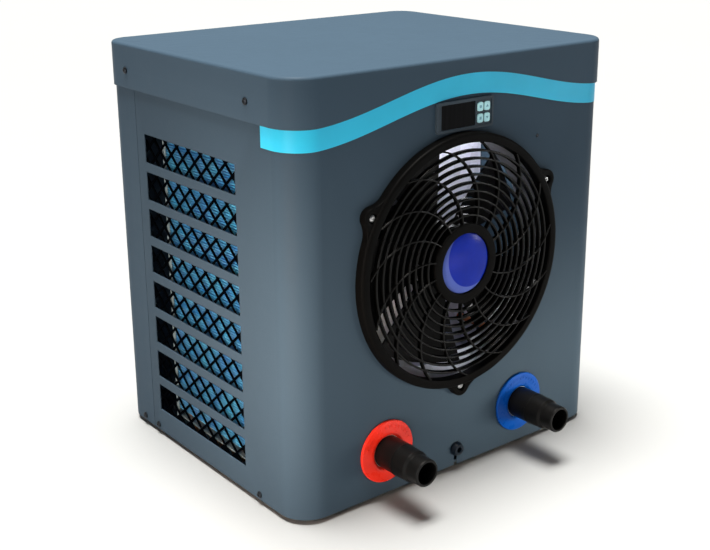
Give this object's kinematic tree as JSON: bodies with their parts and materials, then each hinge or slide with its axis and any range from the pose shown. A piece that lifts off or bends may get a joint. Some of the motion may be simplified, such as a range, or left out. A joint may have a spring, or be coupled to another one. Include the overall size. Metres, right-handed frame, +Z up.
{
  "type": "pool heat pump unit",
  "caption": "Small free-standing pool heat pump: sheet-metal cabinet with side coil slots, front fan grille, key panel and stepped water hose tails.",
  "frame": {"origin": "on the floor under the centre of the bounding box", "axes": "+Z up, the fan and the hose tails face -Y, the coil slots are on the -X side"},
  "size_m": [0.4802, 0.462, 0.497],
  "materials": {
    "body_paint": "satin dark slate powder coat",
    "cover_paint": "satin dark slate powder coat",
    "stripe_film": "smooth bright cyan film",
    "galvanised": "galvanised sheet",
    "screw_dark": "blackened steel",
    "screw_zinc": "zinc plated",
    "rubber": "matt",
    "mesh_black": "matt",
    "fin_blue": "blue hydrophilic coating",
    "fin_plate": "bare sheet",
    "copper": "drawn copper tube",
    "grille_black": "gloss moulded",
    "badge_blue": "domed gloss resin",
    "motor_grey": "satin black enamel",
    "shaft_steel": "ground",
    "fan_black": "satin moulded",
    "bezel_slate": "fine matt",
    "window_black": "smoked window",
    "board_green": "solder mask",
    "key_cyan": "satin moulded",
    "pvc_white": "semi gloss PVC",
    "cap_grey": "PVC",
    "titanium": "drawn titanium tube",
    "hose_black": "satin moulded",
    "flange_red": "satin moulded",
    "flange_blue": "satin moulded",
    "compressor_black": "gloss enamel",
    "capacitor_alu": "drawn can"
  },
  "bodies": {
    "cabinet": {"base_pan": "body_paint", "front_panel": "body_paint", "back_panel": "body_paint", "top_cover": "cover_paint", "wave_stripe": "stripe_film", "partition_panel": "galvanised", "rubber_feet": "rubber", "foot_screws": "screw_zinc", "cover_screws": "screw_dark", "panel_screws": "screw_dark", "panel_rivet": "screw_dark", "side_mesh_guard": "mesh_black", "evaporator_fins": "fin_blue", "evaporator_tubes": "copper", "evaporator_plates": "fin_plate", "fan_shroud": "galvanised", "fan_grille": "grille_black", "hub_badge": "badge_blue", "grille_screws": "screw_zinc", "motor_bracket": "galvanised", "fan_motor": "motor_grey", "controller_case": "mesh_black", "controller_bezel": "bezel_slate", "display_window": "window_black", "keypad_board": "board_green", "exchanger_shell": "pvc_white", "exchanger_caps": "cap_grey", "titanium_coil": "titanium", "exchanger_saddles": "cap_grey", "outlet_spigot": "hose_black", "inlet_spigot": "hose_black", "outlet_flange": "flange_red", "inlet_flange": "flange_blue", "bulkhead_gaskets": "rubber", "bulkhead_nuts": "pvc_white", "flow_switch": "cap_grey", "compressor": "compressor_black", "compressor_grommets": "rubber", "compressor_bolts": "screw_zinc", "terminal_cover": "mesh_black", "accumulator": "compressor_black", "discharge_pipe": "copper", "liquid_pipe": "copper", "filter_drier": "copper", "capillary_tube": "copper", "suction_pipe": "copper", "control_box": "galvanised", "control_box_lid": "galvanised", "control_board": "board_green", "run_capacitor": "capacitor_alu", "cable_gland": "mesh_black", "gland_nut": "mesh_black"},
    "fan": {"fan_shaft": "shaft_steel", "fan_impeller": "fan_black", "fan_nut": "screw_zinc"},
    "key_up_cap": {"key_up": "key_cyan"},
    "key_down_cap": {"key_down": "key_cyan"},
    "key_set_cap": {"key_set": "key_cyan"},
    "key_power_cap": {"key_power": "key_cyan"}
  },
  "joints": [
    {"name": "fan_spin", "type": "hinge", "parent": "cabinet", "child": "fan", "pos_m": [-0.006, -0.13103, 0.264], "axis": [0, -1, 0], "continuous": true},
    {"name": "key_up_press", "type": "slide", "parent": "cabinet", "child": "key_up_cap", "axis": [0, 1, 0], "range_m": [0, 0.0008], "stiffness_N_per_m": 500},
    {"name": "key_down_press", "type": "slide", "parent": "cabinet", "child": "key_down_cap", "axis": [0, 1, 0], "range_m": [0, 0.0008], "stiffness_N_per_m": 500},
    {"name": "key_set_press", "type": "slide", "parent": "cabinet", "child": "key_set_cap", "axis": [0, 1, 0], "range_m": [0, 0.0008], "stiffness_N_per_m": 500},
    {"name": "key_power_press", "type": "slide", "parent": "cabinet", "child": "key_power_cap", "axis": [0, 1, 0], "range_m": [0, 0.0008], "stiffness_N_per_m": 500}
  ]
}
